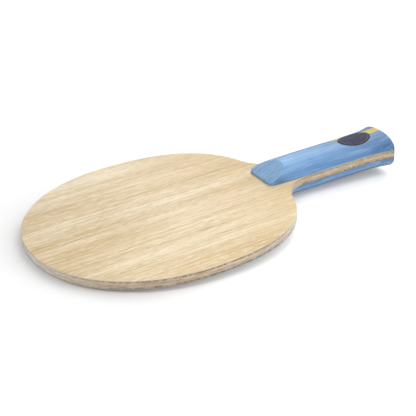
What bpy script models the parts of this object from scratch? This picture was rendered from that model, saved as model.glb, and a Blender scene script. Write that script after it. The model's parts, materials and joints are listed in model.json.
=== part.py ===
"""Bare table tennis paddle: a seven-ply composite blade between two stained handle scales.

Units are metres, +Z up. The pieces are drawn in the blade's own frame (x from the tip towards
the butt, z across the plies) and hang from one empty, which tilts the paddle into the attitude
it takes on a table: the rim of the tip and the belly of the lower scale carry it.
The world origin is at the bottom centre of the resting paddle's bounding box.
"""
import bpy
import bmesh
from math import asin, atan, cos, pi, sin, sqrt

# Blade outline: one ellipse-like curve per end of the head, met at its widest line
HEAD_HALF_WIDTH = 0.0750
TIP_X = -0.0785
WIDEST_X = 0.0048
TIP_POWER = 2.08
NECK_END_X = 0.0884
NECK_POWER = 2.47
NECK_FILLET = 0.0250
HEAD_STEPS = 44
FILLET_STEPS = 9

# Plies, from the middle outwards
CORE_THICK = 0.0026
INNER_VENEER_THICK = 0.0005
FIBRE_THICK = 0.0002
OUTER_VENEER_THICK = 0.00055
GLUE_LINE = 0.0001

# Handle
SCALE_FRONT_X = 0.0800
BUTT_X = 0.1772
HALF_WIDTH = 0.01335
WIDTH_GROWTH = 0.004
FLARE_START_X = 0.1500
FLARE_WIDTH = 0.0036
FLARE_HEIGHT = 0.0007
CROWN_HEIGHT = 0.01155
CROWN_DROP = 0.00030
CROWN_FULL_X = 0.1200
SECTION_POWER = 2.25
SECTION_STEPS = 15
FRONT_CORNER = 0.0026
FRONT_NARROWING = 0.0008
NARROWING_LENGTH = 0.0140
FRONT_LIP = 0.0013
RIDGE_X = 0.0962
BUTT_ROUND = 0.0012
JOINT_GAP = 0.0003

# Yellow inlay: straight from the butt, then an arc that leaves through the far side
INLAY_NEAR_Y = -0.0010
INLAY_WIDTH = 0.0063
INLAY_BEND_X = 0.1640
INLAY_RADIUS = 0.0400
INLAY_SWEEP = 1.20
CUTTER_REACH = 0.0300

# Oval badge let into the crown of the forehand scale
BADGE_X = 0.1548
BADGE_Y = -0.0006
BADGE_HALF_LENGTH = 0.0124
BADGE_HALF_WIDTH = 0.0078
BADGE_SINK = 0.0006
BADGE_PROUD = 0.00025
BADGE_RINGS = 3
BADGE_STEPS = 28

BLADE_THICK = (CORE_THICK + 2 * (INNER_VENEER_THICK + FIBRE_THICK + OUTER_VENEER_THICK)
               + 6 * GLUE_LINE)
FACE_Z = BLADE_THICK / 2
SEAT_Z = FACE_Z + JOINT_GAP
FLARE_LENGTH = BUTT_X - FLARE_START_X


def clear_scene():
    for obj in list(bpy.data.objects):
        bpy.data.objects.remove(obj, do_unlink=True)


def make_material(name, color, roughness, metallic=0.0):
    material = bpy.data.materials.new(name)
    material.use_nodes = True
    shader = material.node_tree.nodes["Principled BSDF"]
    shader.inputs["Base Color"].default_value = (*color, 1.0)
    shader.inputs["Roughness"].default_value = roughness
    shader.inputs["Metallic"].default_value = metallic
    material.diffuse_color = (*color, 1.0)
    return material


def make_object(name, bm, material, parent):
    bmesh.ops.recalc_face_normals(bm, faces=bm.faces)
    mesh = bpy.data.meshes.new(name)
    bm.to_mesh(mesh)
    bm.free()
    if material:
        mesh.materials.append(material)
    obj = bpy.data.objects.new(name, mesh)
    bpy.context.scene.collection.objects.link(obj)
    obj.parent = parent
    return obj


def make_cutter(name, bm, parent):
    cutter = make_object(name, bm, None, parent)
    cutter.hide_render = True
    cutter.display_type = "WIRE"
    return cutter


def cut(obj, cutter, operation):
    modifier = obj.modifiers.new(cutter.name, "BOOLEAN")
    modifier.operation = operation
    modifier.object = cutter
    modifier.solver = "EXACT"


def smooth(obj):
    obj.data.shade_smooth()
    obj.data.set_sharp_from_angle(angle=0.6)


def prism(outline, bottom, top, seam=None):
    """Extrude a closed outline of (x, y) points from z = bottom to z = top.

    seam is a pair of places in the outline, and splits the flat faces along the line between them.
    """
    bm = bmesh.new()
    verts = [bm.verts.new((x, y, bottom)) for x, y in outline]
    face = bm.faces.new(verts)
    if seam:
        bmesh.utils.face_split(face, verts[seam[0]], verts[seam[1]])
    swept = bmesh.ops.extrude_face_region(bm, geom=bm.faces[:])
    lifted = [item for item in swept["geom"] if isinstance(item, bmesh.types.BMVert)]
    bmesh.ops.translate(bm, verts=lifted, vec=(0, 0, top - bottom))
    return bm


# Profiles of the handle

def flare(x):
    """0 along the grip, rising as a cube to 1 at the butt."""
    return max(0.0, (x - FLARE_START_X) / FLARE_LENGTH) ** 3


def butt_inset(x):
    """How far the rounded butt edge has turned in at x."""
    past = max(0.0, x - (BUTT_X - BUTT_ROUND))
    return BUTT_ROUND - sqrt(max(0.0, BUTT_ROUND ** 2 - past ** 2))


def half_width(x):
    grown = HALF_WIDTH + WIDTH_GROWTH * (x - SCALE_FRONT_X)
    return grown + FLARE_WIDTH * flare(x) - butt_inset(x)


def crown_height(x):
    """Height of the handle's centre line above the middle of the blade."""
    short = max(0.0, (CROWN_FULL_X - x) / (CROWN_FULL_X - RIDGE_X))
    return CROWN_HEIGHT - CROWN_DROP * short ** 2 + FLARE_HEIGHT * flare(x) - butt_inset(x)


def scale_half_width(x):
    """Half width of a scale: drawn in a little towards its front, where its corners are round."""
    ahead = x - SCALE_FRONT_X
    drawn_in = FRONT_NARROWING * max(0.0, 1.0 - ahead / NARROWING_LENGTH) ** 2
    back = max(0.0, FRONT_CORNER - ahead)
    corner = FRONT_CORNER - sqrt(max(0.0, FRONT_CORNER ** 2 - back ** 2))
    return half_width(x) - drawn_in - corner


def surface_height(x, y):
    """Height of the crowned surface above the middle of the blade."""
    across = min(1.0, abs(y) / half_width(x))
    rise = (1.0 - across ** SECTION_POWER) ** (1.0 / SECTION_POWER)
    return FACE_Z + (crown_height(x) - FACE_Z) * rise


def handle_stations():
    """Places along the handle where its section is drawn, close together where it bends."""
    corner = [SCALE_FRONT_X + FRONT_CORNER * (1 - cos(pi / 2 * i / 4)) for i in range(5)]
    grip = [0.0855, 0.0900, RIDGE_X, 0.1080, CROWN_FULL_X, 0.1340, FLARE_START_X]
    bell = [FLARE_START_X + FLARE_LENGTH * i / 7 for i in range(1, 7)]
    end = [BUTT_X - BUTT_ROUND * (1 - sin(pi / 2 * i / 4)) for i in range(5)]
    return corner + grip + bell + end


# Blade

def head_curve():
    """The head's -Y half from the tip towards the neck, without the neck's fillet."""
    points = []
    for i in range(HEAD_STEPS + 1):
        angle = pi * (1 - i / HEAD_STEPS)
        neck_end = cos(angle) > 0
        power = 2 / (NECK_POWER if neck_end else TIP_POWER)
        reach = NECK_END_X - WIDEST_X if neck_end else TIP_X - WIDEST_X
        x = WIDEST_X + reach * abs(cos(angle)) ** power
        y = -HEAD_HALF_WIDTH * abs(sin(angle)) ** power
        points.append((x, y))
    return points


def nearest_on_head(head, center):
    """Index of the head point nearest to the fillet's centre, and its distance."""
    gaps = [sqrt((x - center[0]) ** 2 + (y - center[1]) ** 2) for x, y in head]
    nearest = min(range(len(gaps)), key=gaps.__getitem__)
    return nearest, gaps[nearest]


def neck_fillet(head):
    """Arc that touches the tang's side and the head, and the head point it starts from."""
    near, far = SCALE_FRONT_X, FLARE_START_X
    for _ in range(40):
        middle = (near + far) / 2
        center = (middle, -half_width(middle) - NECK_FILLET)
        start, gap = nearest_on_head(head, center)
        if gap < NECK_FILLET:
            near = middle
        else:
            far = middle
    x, y = head[start]
    turn = asin((center[0] - x) / NECK_FILLET)
    arc = []
    for i in range(FILLET_STEPS + 1):
        angle = turn * (1 - i / FILLET_STEPS)
        arc.append((center[0] - NECK_FILLET * sin(angle), center[1] + NECK_FILLET * cos(angle)))
    return start, arc


def blade_outline():
    """The whole blade in plan, from the tip round the -Y side to the butt and back."""
    head = head_curve()
    start, arc = neck_fillet(head)
    tang = [(x, -half_width(x)) for x in handle_stations() if x > arc[-1][0] + 0.002]
    side = head[:start] + arc + tang
    mirrored = [(x, -y) for x, y in reversed(side[1:])]
    return side + mirrored


def rubber_line(outline):
    """The outline points on either side where the rubber sheet would end at the handle."""
    last = max(i for i, (x, y) in enumerate(outline[:len(outline) // 2])
               if x < SCALE_FRONT_X and y < -NECK_FILLET)
    return last, len(outline) - last


def ply_stack():
    """(name, lowest z, highest z, material) for each ply of the half above the core."""
    z = CORE_THICK / 2
    for name, thick, look in (("inner_veneer", INNER_VENEER_THICK, "inner_wood"),
                              ("fibre_layer", FIBRE_THICK, "fibre"),
                              ("outer_veneer", OUTER_VENEER_THICK, "face_wood")):
        z += GLUE_LINE
        yield name, z, z + thick, look
        z += thick


def build_blade(looks, parent):
    outline = blade_outline()
    seam = rubber_line(outline)
    core = prism(outline, -CORE_THICK / 2, CORE_THICK / 2, seam)
    make_object("core_ply", core, looks["core_wood"], parent)
    for name, low, high, look in ply_stack():
        upper = prism(outline, low, high, seam)
        make_object("forehand_" + name, upper, looks[look], parent)
        lower = prism(outline, -high, -low, seam)
        make_object("backhand_" + name, lower, looks[look], parent)


# Handle scales

def section(x, side):
    """One closed loop round a scale at x: over the crown, then back along its seat."""
    reach = scale_half_width(x)
    crown = crown_height(x) - SEAT_Z
    loop = []
    for i in range(SECTION_STEPS + 1):
        angle = pi * i / SECTION_STEPS
        power = 2 / SECTION_POWER
        y = reach * abs(cos(angle)) ** power * (1 if cos(angle) > 0 else -1)
        loop.append((x, y, side * (SEAT_Z + crown * sin(angle) ** power)))
    return loop


def ramp_wedge(side):
    """Block above the sloping front face of a scale."""
    slope = (crown_height(RIDGE_X) - SEAT_Z - FRONT_LIP) / (RIDGE_X - SCALE_FRONT_X)
    lip_z = SEAT_Z + FRONT_LIP
    start, end = SCALE_FRONT_X - 0.002, RIDGE_X + 0.004
    low, high = lip_z - slope * 0.002, lip_z + slope * (end - SCALE_FRONT_X)
    profile = [(start, low), (end, high), (end, CUTTER_REACH), (start, CUTTER_REACH)]
    bm = bmesh.new()
    face = bm.faces.new([bm.verts.new((x, -CUTTER_REACH, side * z)) for x, z in profile])
    swept = bmesh.ops.extrude_face_region(bm, geom=[face])
    moved = [item for item in swept["geom"] if isinstance(item, bmesh.types.BMVert)]
    bmesh.ops.translate(bm, verts=moved, vec=(0, 2 * CUTTER_REACH, 0))
    return bm


def scale_body(side):
    """A whole scale, lofted through its sections and still without its ramp."""
    bm = bmesh.new()
    rings = []
    for x in handle_stations():
        verts = [bm.verts.new(point) for point in section(x, side)]
        rings.append([bm.edges.new(pair) for pair in zip(verts, verts[1:] + verts[:1])])
    for first, second in zip(rings, rings[1:]):
        bmesh.ops.bridge_loops(bm, edges=first + second)
    bmesh.ops.holes_fill(bm, edges=[edge for edge in bm.edges if edge.is_boundary])
    return bm


def beyond_inlay(offset):
    """Outline of everything on the far side of the inlay's near edge moved by offset."""
    start_y = INLAY_NEAR_Y + offset
    radius = INLAY_RADIUS - offset
    outline = [(BUTT_X + CUTTER_REACH, start_y)]
    for i in range(15):
        angle = INLAY_SWEEP * i / 14
        outline.append((INLAY_BEND_X - radius * sin(angle), start_y + radius * (1 - cos(angle))))
    outline.append((outline[-1][0], 2 * CUTTER_REACH))
    outline.append((BUTT_X + CUTTER_REACH, 2 * CUTTER_REACH))
    return outline


def oval_pad(low, high, extra):
    """Oval plate that follows the crown, from low to high above its surface."""
    bm = bmesh.new()
    sheets = []
    for lift in (low, high):
        center = bm.verts.new((BADGE_X, BADGE_Y, surface_height(BADGE_X, BADGE_Y) + lift))
        rings = []
        for k in range(1, BADGE_RINGS + 1):
            grow = k / BADGE_RINGS
            ring = []
            for i in range(BADGE_STEPS):
                angle = 2 * pi * i / BADGE_STEPS
                x = BADGE_X + (BADGE_HALF_LENGTH + extra) * grow * cos(angle)
                y = BADGE_Y + (BADGE_HALF_WIDTH + extra) * grow * sin(angle)
                ring.append(bm.verts.new((x, y, surface_height(x, y) + lift)))
            rings.append(ring)
        sheets.append((center, rings))
    for center, rings in sheets:
        for i in range(BADGE_STEPS):
            j = (i + 1) % BADGE_STEPS
            bm.faces.new((center, rings[0][i], rings[0][j]))
            for inner, outer in zip(rings, rings[1:]):
                bm.faces.new((inner[i], outer[i], outer[j], inner[j]))
    lower, upper = sheets[0][1][-1], sheets[1][1][-1]
    for i in range(BADGE_STEPS):
        j = (i + 1) % BADGE_STEPS
        bm.faces.new((lower[i], lower[j], upper[j], upper[i]))
    return bm


def build_scales(looks, parent):
    reach = CUTTER_REACH
    gap = JOINT_GAP
    near_zone = make_cutter("cut_near_zone", prism(beyond_inlay(0.0), -reach, reach), parent)
    inlay_zone = make_cutter("cut_inlay_zone", prism(beyond_inlay(gap), -reach, reach), parent)
    far_edge = INLAY_WIDTH + gap
    end_zone = make_cutter("cut_end_zone", prism(beyond_inlay(far_edge), -reach, reach), parent)
    corner_zone = make_cutter("cut_corner_zone",
                              prism(beyond_inlay(far_edge + gap), -reach, reach), parent)
    recess = make_cutter("cut_badge_recess", oval_pad(-BADGE_SINK - gap, 0.004, gap), parent)
    for hand, side in (("forehand", 1), ("backhand", -1)):
        ramp = make_cutter("cut_%s_ramp" % hand, ramp_wedge(side), parent)
        main = make_object(hand + "_scale_main", scale_body(side), looks["blue_wood"], parent)
        cut(main, ramp, "DIFFERENCE")
        cut(main, near_zone, "DIFFERENCE")
        inlay = make_object(hand + "_scale_inlay", scale_body(side), looks["yellow_wood"], parent)
        cut(inlay, inlay_zone, "INTERSECT")
        cut(inlay, end_zone, "DIFFERENCE")
        corner = make_object(hand + "_scale_corner", scale_body(side), looks["blue_wood"], parent)
        cut(corner, corner_zone, "INTERSECT")
        for block in (main, inlay, corner):
            if side > 0:
                cut(block, recess, "DIFFERENCE")
            smooth(block)


def build_badge(looks, parent):
    badge = make_object("handle_badge", oval_pad(-BADGE_SINK, BADGE_PROUD, 0.0),
                        looks["badge"], parent)
    smooth(badge)


# Resting attitude

def rest_tilt():
    """Angle at which a straightedge touches the tip's rim and the belly of the lower scale."""
    belly = [x for x in handle_stations() if x >= RIDGE_X]
    return atan(max((crown_height(x) - FACE_Z) / (x - TIP_X) for x in belly))


def stand_on_table(root):
    """Move the tilted paddle until its bounding box stands on z = 0, centred on the origin."""
    bpy.context.view_layer.update()
    depsgraph = bpy.context.evaluated_depsgraph_get()
    points = []
    for obj in root.children:
        if not obj.hide_render:
            solid = obj.evaluated_get(depsgraph)
            points += [solid.matrix_world @ vertex.co for vertex in solid.data.vertices]
    for axis in (0, 1):
        values = [point[axis] for point in points]
        root.location[axis] -= (min(values) + max(values)) / 2
    root.location[2] -= min(point[2] for point in points)
    bpy.context.view_layer.update()


def main():
    clear_scene()
    looks = {
        "face_wood": make_material("face_wood", (0.78, 0.62, 0.38), 0.55),
        "inner_wood": make_material("inner_wood", (0.66, 0.47, 0.28), 0.60),
        "core_wood": make_material("core_wood", (0.62, 0.42, 0.26), 0.60),
        "fibre": make_material("fibre", (0.22, 0.21, 0.17), 0.50),
        "blue_wood": make_material("blue_wood", (0.19, 0.36, 0.62), 0.40),
        "yellow_wood": make_material("yellow_wood", (0.76, 0.53, 0.12), 0.40),
        "badge": make_material("badge", (0.06, 0.06, 0.09), 0.30, 0.2),
    }
    root = bpy.data.objects.new("paddle_rest", None)
    bpy.context.scene.collection.objects.link(root)
    root.rotation_euler = (0.0, -rest_tilt(), 0.0)
    build_blade(looks, root)
    build_scales(looks, root)
    build_badge(looks, root)
    stand_on_table(root)


main()
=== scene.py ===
"""Looks of the bare table tennis paddle: fine meshes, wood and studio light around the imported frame.

Units are metres, +Z up. Every piece is drawn in the blade's own frame (x from the tip towards the
butt, z across the plies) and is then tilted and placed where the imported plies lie.
"""
import json
from math import acos, asin, cos, pi, radians, sin, sqrt

import bmesh
import bpy
from mathutils import Matrix, Vector


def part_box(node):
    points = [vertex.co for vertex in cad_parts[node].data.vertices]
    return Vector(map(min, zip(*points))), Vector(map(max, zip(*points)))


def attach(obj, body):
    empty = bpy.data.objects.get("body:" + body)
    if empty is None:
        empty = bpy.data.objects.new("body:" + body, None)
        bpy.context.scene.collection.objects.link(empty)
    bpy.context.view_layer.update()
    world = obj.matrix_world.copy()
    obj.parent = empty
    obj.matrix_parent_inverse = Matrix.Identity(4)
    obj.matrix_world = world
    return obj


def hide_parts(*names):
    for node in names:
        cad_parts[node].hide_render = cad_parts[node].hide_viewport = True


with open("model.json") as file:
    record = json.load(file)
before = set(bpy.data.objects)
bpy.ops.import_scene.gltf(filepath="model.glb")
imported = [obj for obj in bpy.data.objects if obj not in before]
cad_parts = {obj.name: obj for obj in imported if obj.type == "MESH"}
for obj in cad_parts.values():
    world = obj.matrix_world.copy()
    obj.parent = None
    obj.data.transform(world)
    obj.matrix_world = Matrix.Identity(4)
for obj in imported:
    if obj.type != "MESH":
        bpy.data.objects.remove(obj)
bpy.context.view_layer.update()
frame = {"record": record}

# Blade outline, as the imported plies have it
TIP_X = -0.0785
WIDEST_X = 0.0048
TIP_POWER = 2.08
NECK_END_X = 0.0884
NECK_POWER = 2.47
NECK_FILLET = 0.0250
HEAD_HALF_WIDTH = (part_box("core_ply")[1][1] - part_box("core_ply")[0][1]) / 2

# Heights of the glue lines and the face above the middle of the blade
CORE_TOP = 0.00135
INNER_TOP = 0.00195
FIBRE_TOP = 0.00225
FACE_Z = 0.00285

# Edges of the plies, and the gap that keeps two touching surfaces apart
SANDED_EDGE = 0.00028
PLY_GROOVE = 0.00003
OPENING_WIDTH = 0.001
HAIRLINE = 0.00002

# Handle
SCALE_FRONT_X = 0.0800
BUTT_X = 0.1772
HALF_WIDTH = 0.01335
WIDTH_GROWTH = 0.004
FLARE_START_X = 0.1500
FLARE_WIDTH = 0.0036
FLARE_HEIGHT = 0.0007
CROWN_HEIGHT = 0.01155
CROWN_DROP = 0.00030
CROWN_FULL_X = 0.1200
SECTION_POWER = 2.25
FRONT_CORNER = 0.0026
FRONT_NARROWING = 0.0008
NARROWING_LENGTH = 0.0140
FRONT_LIP = 0.0016
LIP_ROUND = 0.00025
RIDGE_X = 0.0962
RIDGE_SOFTNESS = 0.00022
RIDGE_WEAR = 0.0005
LIP_WEAR = 0.0007
BUTT_ROUND = 0.0012
FLARE_LENGTH = BUTT_X - FLARE_START_X
RAMP_SLOPE = (CROWN_HEIGHT - CROWN_DROP - FACE_Z - FRONT_LIP) / (RIDGE_X - SCALE_FRONT_X)

# Yellow inlay
INLAY_NEAR_Y = -0.0010
INLAY_WIDTH = 0.0063
INLAY_BEND_X = 0.1640
INLAY_RADIUS = 0.0400
INLAY_SEARCH_X = SCALE_FRONT_X + 0.02
GLUE_HAIRLINE = 0.00004

# Badge
BADGE_X = 0.1548
BADGE_Y = -0.0006
BADGE_HALF_LENGTH = 0.0124
BADGE_HALF_WIDTH = 0.0078
BADGE_PROUD = 0.00025
BADGE_EDGE = 0.00018
RING_SHARE = 0.87
RING_WIDTH = 0.00032
RING_CREST = 0.6
RING_HEIGHT = 0.00005

# Fineness of the meshes
HEAD_STEPS = 220
FILLET_STEPS = 28
SANDING_STEPS = 6
LIP_STEPS = 5
MAIN_STEPS = 96
INLAY_STEPS = 28
CORNER_STEPS = 36
BADGE_STEPS = 96
BADGE_RIM_STEPS = 5
FILLET_HALVINGS = 40
INLAY_HALVINGS = 50
MERGE_DISTANCE = 1e-7
SHARP_ANGLE = 0.6

# Runs of places along the handle: the first one, the step and how many
TANG_RUN = (0.0820, 0.0020, 34)
RAMP_RUN = (SCALE_FRONT_X + 0.0004, 0.0002, 88)
GRIP_RUN = (0.0984, 0.0012, 43)

# Steps along the flare and round the butt's edge
TANG_FLARE_STEPS = (24, 8)
SCALE_FLARE_STEPS = (40, 10)

# Least distances between places where one stretch ends and the next begins
AFTER_FILLET = 0.001
AFTER_START = 0.0002
BEFORE_BUTT_ROUND = 0.0003

# Rings of the badge, as shares of its outline
BADGE_UNDERSIDE = (0.25, 0.5, 0.75, 1.0)
BADGE_TOP = (0.955, 0.93, 0.9, 0.75, 0.6, 0.45, 0.3, 0.15)

# Sizes and places of patterns
GRIP_TONE_X = 0.0900
GRIP_TONE_LENGTH = 0.012
TOW_PITCH = 0.0026
# Strip ahead of the scales that gets painted light, lifting the shade they cast
LIFTED_SHADE_X = (0.0765, 0.0798)
LIFTED_SHADE_NEAR_Y = (-0.0142, -0.0085)
LIFTED_SHADE_FAR_Y = (0.0155, 0.0125)
NECK_CORNER_X = (0.070, 0.080)

# Tones and bumps that several looks share
# Grey painted where the head's edge turns to the grip: painted reflection and shade
SHOULDER_PAINTED_GREY = (149, 149, 153)
SHOULDER_PAINTED_SHARE = 0.42
FINE_BUMP = 0.00003
COARSE_BUMP = 0.00005
METAL_BUMP = 0.00001
WHITE = (1.0, 1.0, 1.0, 1.0)

# Powers of end_grain: how far its tone reaches round from the cut ends
BROAD = 2.5
NARROW = 24

# Sockets of a colour Mix node
MIX_FACTOR = 0
MIX_UNDER = 6
MIX_OVER = 7
MIX_RESULT = 2

# Camera. Its azimuth is measured from -Y towards +X, and its lens and sensor are in millimetres.
CAMERA_AIM = Vector((-0.0138, -0.0093, 0.0083))
CAMERA_AZIMUTH = radians(-30.10)
CAMERA_ELEVATION = radians(27.24)
CAMERA_ROLL = radians(-0.37)
CAMERA_DISTANCE = 0.6427
CAMERA_LENS = 89.6
CAMERA_SENSOR = 36.0
CAMERA_NEAR = 0.01
CAMERA_FAR = 20.0

# Floor and light
FLOOR_SIZE = 4.0
FLOOR_DROP = 0.0001
FLOOR_ALBEDO = 0.88
GLOW_AT_TIP = 0.06
GLOW_AT_HANDLE = 0.14
GLOW_BESIDE_NECK = 0.10
HANDLE_GLOW_X = (-0.045, 0.030)
NECK_GLOW_X = (-0.040, 0.030)
NECK_GLOW_Y = (-0.024, -0.042)
WORLD_STRENGTH = 0.02
SOFTBOX_DISTANCE = 2.4
SOFTBOXES = (
    # Name, azimuth and elevation in degrees, size in metres, power in watts
    ("key_softbox", 4, 42, 3.4, 84.5),
    ("fill_softbox", 236, 34, 1.4, 12.5),
    ("low_softbox", 320, 14, 1.0, 22.0),
    ("top_softbox", 200, 72, 1.2, 14.0),
    ("back_softbox", 60, 28, 1.6, 13.0),
    ("tip_softbox", 190, 15, 1.0, 3.6),
)


# Placing

def blade_frame():
    """Matrix from the blade's frame to the world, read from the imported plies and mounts."""
    mounts = {mount["name"]: mount for mount in frame["record"]["mounts"]}
    lean = mounts["forehand_face"]["axis"][0]
    tilt = asin(-lean)
    tip = Vector(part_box("forehand_outer_veneer")[0])
    sole = Vector(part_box("backhand_outer_veneer")[0])
    x = tip.x - TIP_X * cos(tilt) + FACE_Z * sin(tilt)
    z = sole.z - TIP_X * sin(tilt) + FACE_Z * cos(tilt)
    return Matrix.Translation((x, 0.0, z)) @ Matrix.Rotation(-tilt, 4, "Y")


BLADE = blade_frame()


def finish_piece(name, bm, material, nodes):
    """Turn a bmesh in the blade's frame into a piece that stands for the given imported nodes."""
    bmesh.ops.remove_doubles(bm, verts=bm.verts, dist=MERGE_DISTANCE)
    bmesh.ops.recalc_face_normals(bm, faces=bm.faces)
    bm.transform(BLADE)
    mesh = bpy.data.meshes.new(name)
    bm.to_mesh(mesh)
    bm.free()
    mesh.materials.append(material)
    mesh.shade_smooth()
    mesh.set_sharp_from_angle(angle=SHARP_ANGLE)
    piece = bpy.data.objects.new(name, mesh)
    bpy.context.scene.collection.objects.link(piece)
    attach(piece, "root")
    if nodes:
        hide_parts(*nodes)


def flip(bm):
    """Turn a mesh of the forehand half into its twin on the backhand half."""
    for vert in bm.verts:
        vert.co.z = -vert.co.z


def finish_pair(name, make_mesh, look, looks):
    """A piece of the forehand half and its twin on the backhand half."""
    for hand in ("forehand", "backhand"):
        bm = make_mesh()
        if hand == "backhand":
            flip(bm)
        node = hand + "_" + name
        finish_piece(node + "_finish", bm, looks[look], [node])


def bridge(bm, first, second):
    """Quads between two closed rings of vertices."""
    for i in range(len(first)):
        j = (i + 1) % len(first)
        bm.faces.new((first[i], first[j], second[j], second[i]))


# Profiles of the handle

def flare(x):
    return max(0.0, (x - FLARE_START_X) / FLARE_LENGTH) ** 3


def butt_inset(x):
    past = max(0.0, x - (BUTT_X - BUTT_ROUND))
    return BUTT_ROUND - sqrt(max(0.0, BUTT_ROUND ** 2 - past ** 2))


def half_width(x):
    grown = HALF_WIDTH + WIDTH_GROWTH * (x - SCALE_FRONT_X)
    return grown + FLARE_WIDTH * flare(x) - butt_inset(x)


def crown_height(x):
    short = max(0.0, (CROWN_FULL_X - x) / (CROWN_FULL_X - RIDGE_X))
    return CROWN_HEIGHT - CROWN_DROP * short ** 2 + FLARE_HEIGHT * flare(x) - butt_inset(x)


def scale_half_width(x):
    """Half width of a scale: drawn in a little towards its front, where its corners are round."""
    ahead = x - SCALE_FRONT_X
    drawn_in = FRONT_NARROWING * max(0.0, 1.0 - ahead / NARROWING_LENGTH) ** 2
    back = max(0.0, FRONT_CORNER - ahead)
    corner = FRONT_CORNER - sqrt(max(0.0, FRONT_CORNER ** 2 - back ** 2))
    return half_width(x) - drawn_in - corner


def surface_height(x, y):
    """Height of the crowned surface behind the ramp."""
    across = min(1.0, abs(y) / half_width(x))
    rise = (1.0 - across ** SECTION_POWER) ** (1.0 / SECTION_POWER)
    return FACE_Z + (crown_height(x) - FACE_Z) * rise


def soft_min(a, b, softness):
    overlap = max(0.0, softness - abs(a - b)) / softness
    return min(a, b) - overlap * overlap * softness / 4


def ramp_height(x):
    """Height of the sloping front facet, rounded over at the lip."""
    back = max(0.0, LIP_ROUND - (x - SCALE_FRONT_X))
    rounding = LIP_ROUND - sqrt(max(0.0, LIP_ROUND ** 2 - back ** 2))
    return FACE_Z + FRONT_LIP + RAMP_SLOPE * (x - SCALE_FRONT_X) - rounding


# Blade

def head_curve():
    """The head's -Y half from the tip towards the neck, without the neck's fillet."""
    points = []
    for i in range(HEAD_STEPS + 1):
        angle = pi * (1 - i / HEAD_STEPS)
        neck_end = cos(angle) > 0
        power = 2 / (NECK_POWER if neck_end else TIP_POWER)
        reach = NECK_END_X - WIDEST_X if neck_end else TIP_X - WIDEST_X
        x = WIDEST_X + reach * abs(cos(angle)) ** power
        y = -HEAD_HALF_WIDTH * abs(sin(angle)) ** power
        points.append((x, y))
    return points


def neck_fillet(head):
    """Where the fillet leaves the head, as a place in its points, and the arc on to the tang's side."""
    near, far = SCALE_FRONT_X, FLARE_START_X
    for _ in range(FILLET_HALVINGS):
        middle = (near + far) / 2
        center = (middle, -half_width(middle) - NECK_FILLET)
        gaps = [sqrt((x - center[0]) ** 2 + (y - center[1]) ** 2) for x, y in head]
        start = min(range(len(gaps)), key=gaps.__getitem__)
        if gaps[start] < NECK_FILLET:
            near = middle
        else:
            far = middle
    turn = asin((center[0] - head[start][0]) / NECK_FILLET)
    arc = []
    for i in range(FILLET_STEPS + 1):
        angle = turn * (1 - i / FILLET_STEPS)
        arc.append((center[0] - NECK_FILLET * sin(angle), center[1] + NECK_FILLET * cos(angle)))
    return start, arc


def run(first, step, count):
    """Evenly spaced places along the handle."""
    return [first + step * i for i in range(count)]


def flare_stations(flare_steps, round_steps):
    """Places along the flare, then closer ones where the butt's edge is round."""
    bell = [FLARE_START_X + FLARE_LENGTH * i / flare_steps for i in range(flare_steps)]
    end = [BUTT_X - BUTT_ROUND * (1 - sin(pi / 2 * i / round_steps)) for i in range(round_steps + 1)]
    return [x for x in bell if x < end[0] - BEFORE_BUTT_ROUND] + end


def blade_outline():
    """The whole blade in plan, from the tip round the -Y side to the butt and back."""
    head = head_curve()
    start, arc = neck_fillet(head)
    places = run(*TANG_RUN) + flare_stations(*TANG_FLARE_STEPS)
    tang = [(x, -half_width(x)) for x in places if x > arc[-1][0] + AFTER_FILLET]
    side = head[:start] + arc + tang
    mirrored = [(x, -y) for x, y in reversed(side[1:])]
    return side + mirrored


def outward(outline):
    """Unit normals of a closed outline that runs anticlockwise."""
    normals = []
    for i in range(len(outline)):
        before, after = outline[i - 1], outline[(i + 1) % len(outline)]
        along = Vector((after[0] - before[0], after[1] - before[1])).normalized()
        normals.append((along.y, -along.x))
    return normals


def free_edge(x, y):
    """1 on the head's open rim, falling to 0 where the scales cover the tang."""
    if x < SCALE_FRONT_X:
        return 1.0
    return max(0.0, min(1.0, (abs(y) - half_width(x)) / OPENING_WIDTH))


OUTLINE = blade_outline()
NORMALS = outward(OUTLINE)
OPEN = [free_edge(x, y) for x, y in OUTLINE]


def ply_ring(bm, inset, z_of):
    """One closed ring of a ply: inset gives its step inwards and z_of its height at openness f."""
    ring = []
    for (x, y), (nx, ny), f in zip(OUTLINE, NORMALS, OPEN):
        ring.append(bm.verts.new((x - nx * inset(f), y - ny * inset(f), z_of(f))))
    return ring


def ply_mesh(low, high, sanded):
    """A ply from z = low to high. Its outer edge is rounded by sanding where the rim is open."""
    bm = bmesh.new()
    rings = [ply_ring(bm, lambda f: PLY_GROOVE, lambda f: low),
             ply_ring(bm, lambda f: 0.0, lambda f: low + PLY_GROOVE)]
    if sanded:
        for i in range(SANDING_STEPS + 1):
            angle = pi / 2 * i / SANDING_STEPS
            inwards, down = 1 - cos(angle), 1 - sin(angle)
            rings.append(ply_ring(bm, lambda f: (PLY_GROOVE + sanded * f) * inwards,
                                  lambda f: high - (PLY_GROOVE + sanded * f) * down))
    else:
        rings.append(ply_ring(bm, lambda f: 0.0, lambda f: high - PLY_GROOVE))
        rings.append(ply_ring(bm, lambda f: PLY_GROOVE, lambda f: high))
    for first, second in zip(rings, rings[1:]):
        bridge(bm, first, second)
    bm.faces.new(reversed(rings[0]))
    bm.faces.new(rings[-1])
    return bm


def build_blade(looks):
    core = ply_mesh(-CORE_TOP, CORE_TOP, 0.0)
    finish_piece("core_ply_finish", core, looks["core_wood"], ["core_ply"])
    plies = (("inner_veneer", CORE_TOP, INNER_TOP, 0.0, "inner_wood"),
             ("fibre_layer", INNER_TOP, FIBRE_TOP, 0.0, "fibre"),
             ("outer_veneer", FIBRE_TOP, FACE_Z, SANDED_EDGE, "face_wood"))
    for name, low, high, sanded, look in plies:
        finish_pair(name, lambda: ply_mesh(low, high, sanded), look, looks)


# Handle scales

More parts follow.
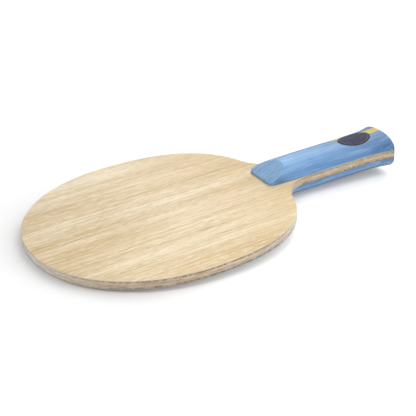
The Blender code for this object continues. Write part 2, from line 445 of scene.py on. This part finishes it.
def near_edge(x):
    """y of the inlay's near edge: straight from the butt, then an arc that turns to the far side."""
    ahead = max(0.0, INLAY_BEND_X - x)
    return INLAY_NEAR_Y + INLAY_RADIUS - sqrt(max(0.0, INLAY_RADIUS ** 2 - ahead ** 2))


def far_edge(x):
    """y of the inlay's far edge, beside the near one all the way."""
    ahead = max(0.0, INLAY_BEND_X - x)
    radius = INLAY_RADIUS - INLAY_WIDTH
    return INLAY_NEAR_Y + INLAY_RADIUS - sqrt(max(0.0, radius ** 2 - ahead ** 2))


def near_side(x):
    return -scale_half_width(x)


def strip_side(x):
    """y where the inlay's strip starts, a hairline past the main block."""
    return near_edge(x) + GLUE_HAIRLINE


def corner_side(x):
    """y where the corner block starts, a hairline past the strip."""
    return far_edge(x) + GLUE_HAIRLINE


def leaves_side(edge):
    """Place along the handle where a curved edge of the inlay reaches the far side."""
    low, high = INLAY_SEARCH_X, INLAY_BEND_X
    for _ in range(INLAY_HALVINGS):
        middle = (low + high) / 2
        if edge(middle) > half_width(middle):
            low = middle
        else:
            high = middle
    return high


def scale_stations(start):
    """Places along a scale from start to the butt, closest where its surface bends."""
    lip = [SCALE_FRONT_X + LIP_ROUND * (1 - cos(pi / 2 * i / LIP_STEPS)) for i in range(LIP_STEPS + 1)]
    places = lip + run(*RAMP_RUN) + run(*GRIP_RUN) + flare_stations(*SCALE_FLARE_STEPS)
    return [start] + [x for x in places if x > start + AFTER_START]


def angle_at(x, y):
    """Angle round the section at x where it passes over y: 0 on the far side, pi on the near."""
    share = min(1.0, abs(y) / scale_half_width(x)) ** (SECTION_POWER / 2)
    return acos(share) if y > 0 else pi - acos(share)


def section_point(x, angle):
    """A point on the scale's surface, and how far handling has rubbed the finish there, 0 to 1."""
    power = 2 / SECTION_POWER
    y = scale_half_width(x) * abs(cos(angle)) ** power * (1 if cos(angle) > 0 else -1)
    crown = FACE_Z + (crown_height(x) - FACE_Z) * sin(angle) ** power
    ramp = ramp_height(x)
    z = soft_min(crown, ramp, RIDGE_SOFTNESS)
    off_ridge = abs(crown - ramp) / RIDGE_WEAR
    off_lip = (x - SCALE_FRONT_X) / LIP_WEAR
    off_butt = abs(BUTT_X - BUTT_ROUND / 3 - x) / LIP_WEAR
    wear = max(0.0, 1.0 - min(off_ridge, off_lip, off_butt))
    return (x, y, max(z, FACE_Z + HAIRLINE)), wear


def block_mesh(start, near, far, steps):
    """A block of a scale between two lines y = near(x) and y = far(x), from x = start to the butt."""
    bm = bmesh.new()
    edge_wear = bm.verts.layers.float.new("edge_wear")
    rings = []
    for x in scale_stations(start):
        reach = scale_half_width(x)
        first = angle_at(x, max(-reach, min(reach, near(x))))
        last = angle_at(x, max(-reach, min(reach, far(x))))
        loop = [section_point(x, first + (last - first) * i / steps) for i in range(steps + 1)]
        seat = FACE_Z + HAIRLINE
        loop.append(((x, loop[-1][0][1], seat), 0.0))
        loop.insert(0, ((x, loop[0][0][1], seat), 0.0))
        ring = []
        for point, wear in loop:
            ring.append(bm.verts.new(point))
            ring[-1][edge_wear] = wear
        rings.append(ring)
    for ring, after in zip(rings, rings[1:]):
        bridge(bm, ring, after)
    bm.faces.new(rings[0])
    bm.faces.new(rings[-1])
    return bm


def build_scales(looks):
    strip_start = leaves_side(near_edge)
    corner_start = leaves_side(far_edge)
    blocks = (
        ("scale_main", SCALE_FRONT_X, near_side, near_edge, MAIN_STEPS, "blue_wood"),
        ("scale_inlay", strip_start, strip_side, far_edge, INLAY_STEPS, "yellow_wood"),
        ("scale_corner", corner_start, corner_side, scale_half_width, CORNER_STEPS, "blue_wood"),
    )
    for name, start, near, far, steps, look in blocks:
        finish_pair(name, lambda: block_mesh(start, near, far, steps), look, looks)


# Badge

def oval_point(share, angle, lift):
    x = BADGE_X + BADGE_HALF_LENGTH * share * cos(angle)
    y = BADGE_Y + BADGE_HALF_WIDTH * share * sin(angle)
    return x, y, surface_height(x, y) + lift


def oval_ring(bm, share, lift):
    return [bm.verts.new(oval_point(share, 2 * pi * i / BADGE_STEPS, lift))
            for i in range(BADGE_STEPS)]


def badge_mesh():
    """Thin oval plate that follows the crown, with a rounded rim."""
    bm = bmesh.new()
    outline = bm.verts.layers.float.new("outline")
    edge = BADGE_EDGE / BADGE_HALF_WIDTH
    rings = [oval_ring(bm, share, -HAIRLINE) for share in BADGE_UNDERSIDE]
    for i in range(BADGE_RIM_STEPS + 1):
        angle = pi / 2 * i / BADGE_RIM_STEPS
        rings.append(oval_ring(bm, 1 - edge * (1 - cos(angle)),
                               BADGE_PROUD - BADGE_EDGE * (1 - sin(angle))))
    for vert in bm.verts:
        vert[outline] = 1.0
    rings += [oval_ring(bm, share, BADGE_PROUD) for share in BADGE_TOP]
    for first, second in zip(rings, rings[1:]):
        bridge(bm, first, second)
    bm.faces.new(rings[0])
    bm.faces.new(rings[-1])
    return bm


def ring_mesh():
    """Fine raised line just inside the badge's rim."""
    bm = bmesh.new()
    half = RING_WIDTH / 2 / BADGE_HALF_WIDTH
    crest = half * RING_CREST
    profile = ((-half, -HAIRLINE), (-crest, RING_HEIGHT), (crest, RING_HEIGHT), (half, -HAIRLINE))
    rings = [oval_ring(bm, RING_SHARE + step, BADGE_PROUD + lift) for step, lift in profile]
    for first, second in zip(rings, rings[1:] + rings[:1]):
        bridge(bm, first, second)
    return bm


def build_badge(looks):
    finish_piece("handle_badge_plate", badge_mesh(), looks["badge"], ["handle_badge"])
    finish_piece("handle_badge_ring", ring_mesh(), looks["badge_ring"], [])


# Materials

def srgb(red, green, blue):
    """A colour written as 0-255 display values, as the linear colour that shaders take."""
    linear = []
    for value in (red, green, blue):
        v = value / 255
        linear.append(v / 12.92 if v <= 0.04045 else ((v + 0.055) / 1.055) ** 2.4)
    return (*linear, 1.0)


class Look:
    """A Principled material whose patterns follow the blade's own frame."""

    def __init__(self, name, roughness=0.5, specular=0.5, metallic=0.0):
        self.material = bpy.data.materials.new(name)
        self.material.use_nodes = True
        self.tree = self.material.node_tree
        self.shader = self.tree.nodes["Principled BSDF"]
        self.shader.inputs["Roughness"].default_value = roughness
        self.shader.inputs["Specular IOR Level"].default_value = specular
        self.shader.inputs["Metallic"].default_value = metallic
        self.where = self.tree.nodes.new("ShaderNodeTexCoord")
        place = self.tree.nodes.new("ShaderNodeMapping")
        place.vector_type = "TEXTURE"
        place.inputs["Location"].default_value = BLADE.to_translation()
        place.inputs["Rotation"].default_value = BLADE.to_euler()
        self.tree.links.new(self.where.outputs["Object"], place.inputs["Vector"])
        self.place = place.outputs["Vector"]

    # Nodes

    def wire(self, socket, value):
        """Link a socket, or set it to a constant."""
        if isinstance(value, bpy.types.NodeSocket):
            self.tree.links.new(value, socket)
        else:
            socket.default_value = value

    def math(self, operation, a, b=0.0):
        node = self.tree.nodes.new("ShaderNodeMath")
        node.operation = operation
        self.wire(node.inputs[0], a)
        self.wire(node.inputs[1], b)
        return node.outputs[0]

    def both(self, first, second):
        """1 where both masks are 1."""
        return self.math("MULTIPLY", first, second)

    def spread(self, value, low, high, to_low=0.0, to_high=1.0):
        """Map low..high to to_low..to_high, clamped."""
        node = self.tree.nodes.new("ShaderNodeMapRange")
        self.wire(node.inputs["Value"], value)
        node.inputs["From Min"].default_value = low
        node.inputs["From Max"].default_value = high
        node.inputs["To Min"].default_value = to_low
        node.inputs["To Max"].default_value = to_high
        return node.outputs["Result"]

    def split(self, vector):
        node = self.tree.nodes.new("ShaderNodeSeparateXYZ")
        self.tree.links.new(vector, node.inputs["Vector"])
        return node.outputs

    def attribute(self, name):
        node = self.tree.nodes.new("ShaderNodeAttribute")
        node.attribute_name = name
        return node.outputs["Fac"]

    # Patterns

    def grain(self, cell, detail=3.0, roughness=0.55, shift=(0.0, 0.0, 0.0)):
        """Noise whose features are cell = (x, y, z) millimetres long in the blade's frame."""
        mapping = self.tree.nodes.new("ShaderNodeMapping")
        mapping.inputs["Scale"].default_value = [1000 / size for size in cell]
        mapping.inputs["Location"].default_value = shift
        self.tree.links.new(self.place, mapping.inputs["Vector"])
        noise = self.tree.nodes.new("ShaderNodeTexNoise")
        self.tree.links.new(mapping.outputs["Vector"], noise.inputs["Vector"])
        noise.inputs["Scale"].default_value = 1.0
        noise.inputs["Detail"].default_value = detail
        noise.inputs["Roughness"].default_value = roughness
        return noise.outputs["Fac"]

    def streaks(self, cell, low, high, detail=3.0, roughness=0.55, shift=(0.0, 0.0, 0.0)):
        """Grain as a mask: 0 where the noise is below low, rising to 1 at high."""
        return self.spread(self.grain(cell, detail, roughness, shift), low, high)

    def wander(self, cell, reach):
        """Make every pattern added from here on drift sideways by up to reach metres."""
        drift = self.spread(self.grain(cell, 2), 0.3, 0.7, -reach, reach)
        sideways = self.tree.nodes.new("ShaderNodeCombineXYZ")
        self.tree.links.new(drift, sideways.inputs["Y"])
        moved = self.tree.nodes.new("ShaderNodeVectorMath")
        self.tree.links.new(self.place, moved.inputs[0])
        self.tree.links.new(sideways.outputs["Vector"], moved.inputs[1])
        self.place = moved.outputs["Vector"]

    # Places

    def along(self, low, high):
        """0 where the blade's own x is low metres, rising to 1 where it is high."""
        return self.spread(self.split(self.place)["X"], low, high)

    def across(self, low, high):
        """0 where the blade's own y is low metres, rising to 1 where it is high."""
        return self.spread(self.split(self.place)["Y"], low, high)

    def off_middle(self):
        """Distance from the blade's middle plane, in metres."""
        return self.math("ABSOLUTE", self.split(self.place)["Z"])

    def facing(self, axis, low, high):
        """0 where the normal's axis part is low, rising to 1 where it is high."""
        return self.spread(self.split(self.where.outputs["Normal"])[axis], low, high)

    def end_grain(self, power):
        """1 where the wood is cut across its grain. A higher power fades faster beside it."""
        size = self.math("ABSOLUTE", self.split(self.where.outputs["Normal"])["X"])
        return self.math("POWER", size, power)

    def grip(self):
        """0 on the head, rising to 1 along the grip."""
        return self.along(GRIP_TONE_X, GRIP_TONE_X + GRIP_TONE_LENGTH)

    def painted_light_ahead_of_scale(self):
        """1 on the strip just ahead of the scales, which gets painted light there to lift the shade the
        scales cast.
        """
        sides = self.both(self.across(*LIFTED_SHADE_NEAR_Y), self.across(*LIFTED_SHADE_FAR_Y))
        return self.both(self.along(*LIFTED_SHADE_X), sides)

    def shoulder(self):
        """1 where the head's edge turns towards the grip, 0 on its other sides. The grey laid there is
        painted reflection and shade.
        """
        return self.facing("X", -0.05, 0.55)

    def neck_corner(self):
        """1 in the fillet between head and tang, where the edge turns to face the grip."""
        return self.both(self.along(*NECK_CORNER_X), self.facing("X", 0.15, 0.75))

    def painted_low_edge_shade(self):
        """Painted shade low on the plies' edge: strongest by the handle, faint at the tip."""
        low = self.spread(self.split(self.place)["Z"], 0.0004, -0.0022)
        return self.both(low, self.spread(self.along(-0.050, 0.020), 0, 1, 0.05, 1.4))

    # Colour

    def tint(self, color, over, mask, share=1.0):
        """Lay the colour over on the colour color, by mask times share."""
        if share != 1.0:
            mask = self.math("MULTIPLY", mask, share)
        node = self.tree.nodes.new("ShaderNodeMix")
        node.data_type = "RGBA"
        self.wire(node.inputs[MIX_FACTOR], mask)
        self.wire(node.inputs[MIX_UNDER], color)
        self.wire(node.inputs[MIX_OVER], over)
        return node.outputs[MIX_RESULT]

    def paint(self, color, *layers):
        """Lay each (display tone, mask, share) over the colour in turn."""
        for tone, mask, share in layers:
            color = self.tint(color, srgb(*tone), mask, share)
        return color

    def finish(self, color, roughness, height, depth):
        """Wire colour, roughness and a bump of the given depth, and return the material."""
        self.wire(self.shader.inputs["Base Color"], color)
        self.wire(self.shader.inputs["Roughness"], roughness)
        node = self.tree.nodes.new("ShaderNodeBump")
        node.inputs["Distance"].default_value = depth
        self.wire(node.inputs["Height"], height)
        self.tree.links.new(node.outputs["Normal"], self.shader.inputs["Normal"])
        return self.material


def face_wood():
    """Pale straight-grained veneer: faint bands, pale and brown lines, short dashes and pores."""
    look = Look("face_wood_finish")
    look.wander((120, 40, 40), 0.0004)
    band = look.streaks((130, 13, 9), 0.34, 0.66)
    cloud = look.streaks((60, 40, 30), 0.42, 0.64, 2, 0.5, (6, 2, 4))
    brown = look.streaks((120, 2.3, 3), 0.50, 0.68, 4, 0.68, (3, 8, 1))
    pale = look.streaks((190, 1.5, 3), 0.50, 0.68, 4, 0.66, (9, 4, 2))
    line = look.streaks((110, 0.8, 1), 0.52, 0.70, 3, 0.6, (1, 2, 7))
    dash = look.streaks((13, 0.75, 1), 0.52, 0.68, 3, 0.6, (7, 1, 3))
    pore = look.streaks((5, 0.40, 0.5), 0.54, 0.68, 2, 0.5)
    fleck = look.streaks((8, 0.55, 0.6), 0.54, 0.68, 2, 0.5, (2, 2, 2))
    edge = look.facing("Z", 0.85, 0.2)
    color = look.paint(
        look.tint(srgb(213, 184, 132), srgb(243, 227, 197), band),
        ((198, 176, 132), cloud, 0.16),
        ((190, 158, 106), brown, 0.50),
        ((254, 243, 220), pale, 0.66),
        ((172, 136, 88), line, 0.52),
        ((176, 144, 98), dash, 0.36),
        ((164, 136, 98), pore, 0.50),
        ((252, 242, 220), fleck, 0.50),
        # Slow changes over the face: darker towards the handle and towards the tip, painted shade where
        # the light falls off; yellower to the near side; paler to the far side, a painted sheen
        ((192, 160, 98), look.along(0.012, 0.092), 0.50),
        ((232, 204, 128), look.across(-0.004, -0.045), 0.08),
        ((245, 240, 220), look.across(0.020, 0.060), 0.12),
        ((186, 166, 134), look.along(-0.040, -0.080), 0.12),
        # Painted light on the strip ahead of the scales, lifting the shade they cast
        ((253, 241, 214), look.painted_light_ahead_of_scale(), 0.60),
        # The veneer's edge: golden along the grip, pale at the tip and the butt, grey at the neck
        ((166, 156, 141), edge, 0.85),
        ((178, 158, 92), look.both(edge, look.grip()), 0.90),
        ((240, 232, 222), look.end_grain(BROAD), 0.70),
        # Painted reflection and shade: grey where the edge turns towards the grip
        (SHOULDER_PAINTED_GREY, look.both(edge, look.shoulder()), SHOULDER_PAINTED_SHARE),
        # Grey in the neck's fillet: partly the plies' own grey, partly painted shade in the corner
        ((120, 120, 126), look.both(edge, look.neck_corner()), 0.80),
        # Painted shade low on the veneer's edge
        ((92, 94, 98), look.painted_low_edge_shade(), 0.56),
    )
    rough = look.spread(look.math("ADD", brown, pore), 0.0, 2.0, 0.50, 0.66)
    return look.finish(color, rough, look.math("SUBTRACT", pale, pore), FINE_BUMP)


def olive_edge(look):
    """Speckled olive grey of the plies next to the glue lines, along the grip."""
    speck = look.streaks((1.2, 1.2, 0.6), 0.42, 0.60, 3, 0.65)
    stain = look.streaks((9, 9, 2), 0.40, 0.62, 2, 0.5, (8, 8, 8))
    color = look.tint(srgb(184, 174, 152), srgb(116, 108, 92), speck)
    return look.tint(color, srgb(188, 160, 118), stain, 0.4)


def core_wood():
    """Light, coarse wood of the thick middle ply, seen at its sanded edge."""
    look = Look("core_wood_finish")
    band = look.streaks((30, 30, 0.8), 0.38, 0.62)
    fleck = look.streaks((5, 5, 0.32), 0.47, 0.62, 3, 0.65)
    shine = look.streaks((7, 7, 0.42), 0.50, 0.64, 2, 0.5, (4, 4, 4))
    color = look.paint(
        look.tint(srgb(172, 142, 110), srgb(214, 190, 157), band),
        ((190, 164, 130), look.grip(), 0.55),
        ((240, 227, 208), look.end_grain(BROAD), 0.90),
        # Near white on the cut ends: painted highlight over the end grain's own pale tone
        ((250, 250, 255), look.end_grain(NARROW), 0.85),
        ((148, 124, 102), fleck, 0.55),
        ((240, 224, 200), shine, 0.60),
        # Painted shade low on the ply's edge
        ((110, 110, 110), look.painted_low_edge_shade(), 0.35),
        # Painted reflection and shade: grey where the edge turns towards the grip
        (SHOULDER_PAINTED_GREY, look.shoulder(), SHOULDER_PAINTED_SHARE),
        # Grey in the neck's fillet: partly the plies' own grey, partly painted shade in the corner
        ((146, 140, 138), look.neck_corner(), 0.80),
    )
    near_glue = look.spread(look.off_middle(), 0.00095, 0.00110)
    color = look.tint(color, olive_edge(look), look.both(look.grip(), near_glue), 0.9)
    return look.finish(color, look.spread(fleck, 0, 1, 0.55, 0.7), fleck, COARSE_BUMP)


def tow_gaps(look):
    """1 where pale resin shows between the dark tows of the fibre cloth, 0 on a tow."""
    return look.streaks((2.2, 2.2, 6), 0.49, 0.57, 2, 0.5)


def inner_wood():
    """Inner veneer's edge: tan round the head, olive grey and speckled along the grip."""
    look = Look("inner_wood_finish")
    band = look.streaks((12, 12, 2), 0.38, 0.62)
    near_cloth = look.spread(look.off_middle(), 0.00140, 0.00165)
    smeared = look.spread(look.math("SUBTRACT", near_cloth, tow_gaps(look)), 0, 1)
    color = look.paint(
        look.tint(srgb(180, 158, 132), srgb(208, 188, 162), band),
        ((114, 110, 107), smeared, 0.72),
        # Painted shade low on the ply's edge
        ((110, 110, 110), look.painted_low_edge_shade(), 0.40),
        ((238, 225, 205), look.end_grain(BROAD), 0.86),
        # Near white on the cut ends: painted highlight over the end grain's own pale tone
        ((246, 242, 240), look.end_grain(NARROW), 0.80),
        # Painted reflection and shade: grey where the edge turns towards the grip
        (SHOULDER_PAINTED_GREY, look.shoulder(), SHOULDER_PAINTED_SHARE),
    )
    color = look.tint(color, olive_edge(look), look.grip(), 0.95)
    return look.finish(color, look.spread(band, 0, 1, 0.55, 0.7), band, COARSE_BUMP)


def fibre():
    """Woven fibre cloth under resin: dark tows cut at the edge, with paler resin between them."""
    look = Look("fibre_finish")
    checker = look.tree.nodes.new("ShaderNodeTexChecker")
    look.tree.links.new(look.place, checker.inputs["Vector"])
    checker.inputs["Scale"].default_value = 1 / TOW_PITCH
    weave = checker.outputs["Fac"]
    resin = tow_gaps(look)
    color = look.paint(
        look.tint(srgb(70, 69, 68), srgb(106, 103, 100), weave),
        ((196, 183, 163), resin, 0.90),
        ((226, 220, 212), look.end_grain(BROAD), 0.75),
    )
    color = look.tint(color, olive_edge(look), look.grip(), 0.45)
    return look.finish(color, look.spread(resin, 0, 1, 0.35, 0.6), weave, FINE_BUMP)


def blue_wood():
    """Blue stained wood under a satin finish: grain showing through, rubbed paler along its edges, with
    light and shade painted in by how each side faces.
    """
    look = Look("blue_wood_finish")
    look.wander((60, 16, 30), 0.0008)
    broad = look.streaks((120, 6, 6), 0.36, 0.64, 3, 0.5, (2, 7, 3))
    dark = look.streaks((50, 1.2, 3.4), 0.50, 0.68, 4, 0.65, (4, 6, 2))
    pale = look.streaks((60, 1.0, 2.4), 0.52, 0.68, 4, 0.62, (5, 3, 8))
    pore = look.streaks((9, 0.45, 2.6), 0.54, 0.68, 2, 0.5)
    # Painted highlight on the top of the crown behind the ramp
    painted_crown_highlight = look.both(look.along(0.150, 0.100), look.facing("Z", 0.955, 0.999))
    worn = look.streaks((7, 4, 4), 0.42, 0.66, 3, 0.6, (6, 1, 1))
    scuffed = look.both(look.attribute("edge_wear"), worn)
    color = look.paint(
        look.tint(srgb(91, 143, 194), srgb(106, 158, 207), broad),
        # Painted light: the ramp and the lip at its front lighter where they face away from the key
        # light, and a painted highlight on the grip behind the ramp and the top of the crown
        ((158, 197, 240), look.facing("X", -0.12, -0.36), 0.84),
        ((212, 229, 248), look.facing("X", -0.50, -0.95), 0.66),
        ((160, 198, 234), look.along(0.116, 0.096), 0.20),
        ((172, 214, 250), painted_crown_highlight, 0.34),
        # The butt's end darker; painted shade on the flare, the lower sides and the near side; painted
        # light from below on the lower sides; painted shade on the underside
        ((60, 92, 134), look.facing("X", 0.5, 0.95), 0.50),
        ((56, 98, 144), look.along(0.120, 0.172), 0.72),
        ((66, 104, 150), look.facing("Z", 0.74, 0.58), 0.34),
        ((60, 97, 144), look.facing("Y", -0.08, -0.30), 0.08),
        ((140, 184, 228), look.facing("Z", 0.10, -0.35), 0.22),
        ((40, 50, 68), look.facing("Z", -0.38, -0.78), 0.80),
        ((60, 100, 150), dark, 0.45),
        ((160, 197, 230), pale, 0.45),
        ((64, 102, 146), pore, 0.40),
        ((186, 204, 214), scuffed, 0.45),
    )
    rough = look.spread(look.math("ADD", dark, scuffed), 0.0, 2.0, 0.36, 0.55)
    return look.finish(color, rough, look.math("SUBTRACT", pale, dark), FINE_BUMP)


def yellow_wood():
    """Yellow dyed wood of the inlay."""
    look = Look("yellow_wood_finish")
    broad = look.streaks((60, 2.5, 3), 0.36, 0.64)
    dark = look.streaks((40, 0.6, 0.6), 0.50, 0.70, 3, 0.6)
    color = look.paint(
        look.tint(srgb(197, 165, 40), srgb(215, 194, 70), broad),
        ((188, 146, 54), dark, 0.50),
        ((200, 140, 48), look.facing("X", 0.3, 0.9), 0.60),
        ((222, 206, 150), look.attribute("edge_wear"), 0.30),
    )
    return look.finish(color, look.spread(dark, 0, 1, 0.36, 0.5), dark, FINE_BUMP)


def badge():
    """Dark anodised plate: faint brushed grain, a darker outline and fine rubbed specks."""
    look = Look("badge_finish", specular=0.1)
    brushed = look.streaks((6, 0.15, 0.5), 0.3, 0.7, 2)
    cloud = look.streaks((5, 4, 4), 0.36, 0.64, 2)
    speck = look.streaks((0.5, 0.5, 0.5), 0.58, 0.70, 2, 0.5)
    color = look.paint(
        look.tint(srgb(40, 41, 62), srgb(54, 55, 78), brushed),
        ((66, 68, 94), cloud, 0.50),
        ((116, 120, 136), speck, 0.40),
        ((36, 30, 32), look.attribute("outline"), 0.85),
    )
    return look.finish(color, look.spread(brushed, 0, 1, 0.42, 0.56), brushed, METAL_BUMP)


def badge_ring():
    """Bronze line of the badge, rubbed brighter in places."""
    look = Look("badge_ring_finish", metallic=0.3)
    rubbed = look.streaks((2, 2, 2), 0.38, 0.62, 2)
    color = look.tint(srgb(60, 54, 54), srgb(98, 84, 72), rubbed)
    return look.finish(color, look.spread(rubbed, 0, 1, 0.35, 0.5), rubbed, METAL_BUMP)


def make_looks():
    makers = (face_wood, inner_wood, core_wood, fibre, blue_wood, yellow_wood, badge, badge_ring)
    return {make.__name__: make() for make in makers}


# Stage

def make_floor():
    """White floor. It glows faintly from below as painted light that lifts the shadows, more under the
    handle and beside the neck.
    """
    bm = bmesh.new()
    bmesh.ops.create_grid(bm, x_segments=1, y_segments=1, size=FLOOR_SIZE)
    mesh = bpy.data.meshes.new("studio_floor")
    bm.to_mesh(mesh)
    bm.free()
    look = Look("studio_floor", roughness=0.8, specular=0.2)
    look.shader.inputs["Base Color"].default_value = (FLOOR_ALBEDO, FLOOR_ALBEDO, FLOOR_ALBEDO, 1.0)
    look.shader.inputs["Emission Color"].default_value = WHITE
    handle_glow = look.spread(look.along(*HANDLE_GLOW_X), 0, 1, GLOW_AT_TIP, GLOW_AT_HANDLE)
    neck_side = look.both(look.along(*NECK_GLOW_X), look.across(*NECK_GLOW_Y))
    neck_glow = look.spread(neck_side, 0, 1, 0.0, GLOW_BESIDE_NECK)
    look.wire(look.shader.inputs["Emission Strength"], look.math("ADD", handle_glow, neck_glow))
    mesh.materials.append(look.material)
    floor = bpy.data.objects.new("studio_floor", mesh)
    floor.location.z = -FLOOR_DROP
    bpy.context.scene.collection.objects.link(floor)


def area_light(name, azimuth, elevation, size, power):
    """Square softbox aimed at the paddle. Azimuth is measured from +X towards +Y."""
    data = bpy.data.lights.new(name, "AREA")
    data.shape = "SQUARE"
    data.size = size
    data.energy = power
    light = bpy.data.objects.new(name, data)
    a, e = radians(azimuth), radians(elevation)
    place = SOFTBOX_DISTANCE * Vector((cos(a) * cos(e), sin(a) * cos(e), sin(e)))
    light.location = place
    light.rotation_euler = place.to_track_quat("Z", "Y").to_euler()
    bpy.context.scene.collection.objects.link(light)


def make_lights():
    """One strong key softbox, weaker ones from the other sides, and a dim white world."""
    world = bpy.data.worlds.new("studio")
    world.use_nodes = True
    background = world.node_tree.nodes["Background"]
    background.inputs["Color"].default_value = WHITE
    background.inputs["Strength"].default_value = WORLD_STRENGTH
    bpy.context.scene.world = world
    for softbox in SOFTBOXES:
        area_light(*softbox)
    bpy.context.scene.view_settings.view_transform = "Standard"


def make_camera():
    data = bpy.data.cameras.new("camera")
    data.sensor_width = CAMERA_SENSOR
    data.lens = CAMERA_LENS
    data.clip_start = CAMERA_NEAR
    data.clip_end = CAMERA_FAR
    camera = bpy.data.objects.new("camera", data)
    back = Vector((sin(CAMERA_AZIMUTH) * cos(CAMERA_ELEVATION),
                   -cos(CAMERA_AZIMUTH) * cos(CAMERA_ELEVATION), sin(CAMERA_ELEVATION)))
    aim = back.to_track_quat("Z", "Y").to_matrix().to_4x4()
    camera.matrix_world = (Matrix.Translation(CAMERA_AIM + back * CAMERA_DISTANCE) @ aim
                           @ Matrix.Rotation(CAMERA_ROLL, 4, "Z"))
    bpy.context.scene.collection.objects.link(camera)
    bpy.context.scene.camera = camera


looks = make_looks()
build_blade(looks)
build_scales(looks)
build_badge(looks)
make_floor()
make_lights()
make_camera()
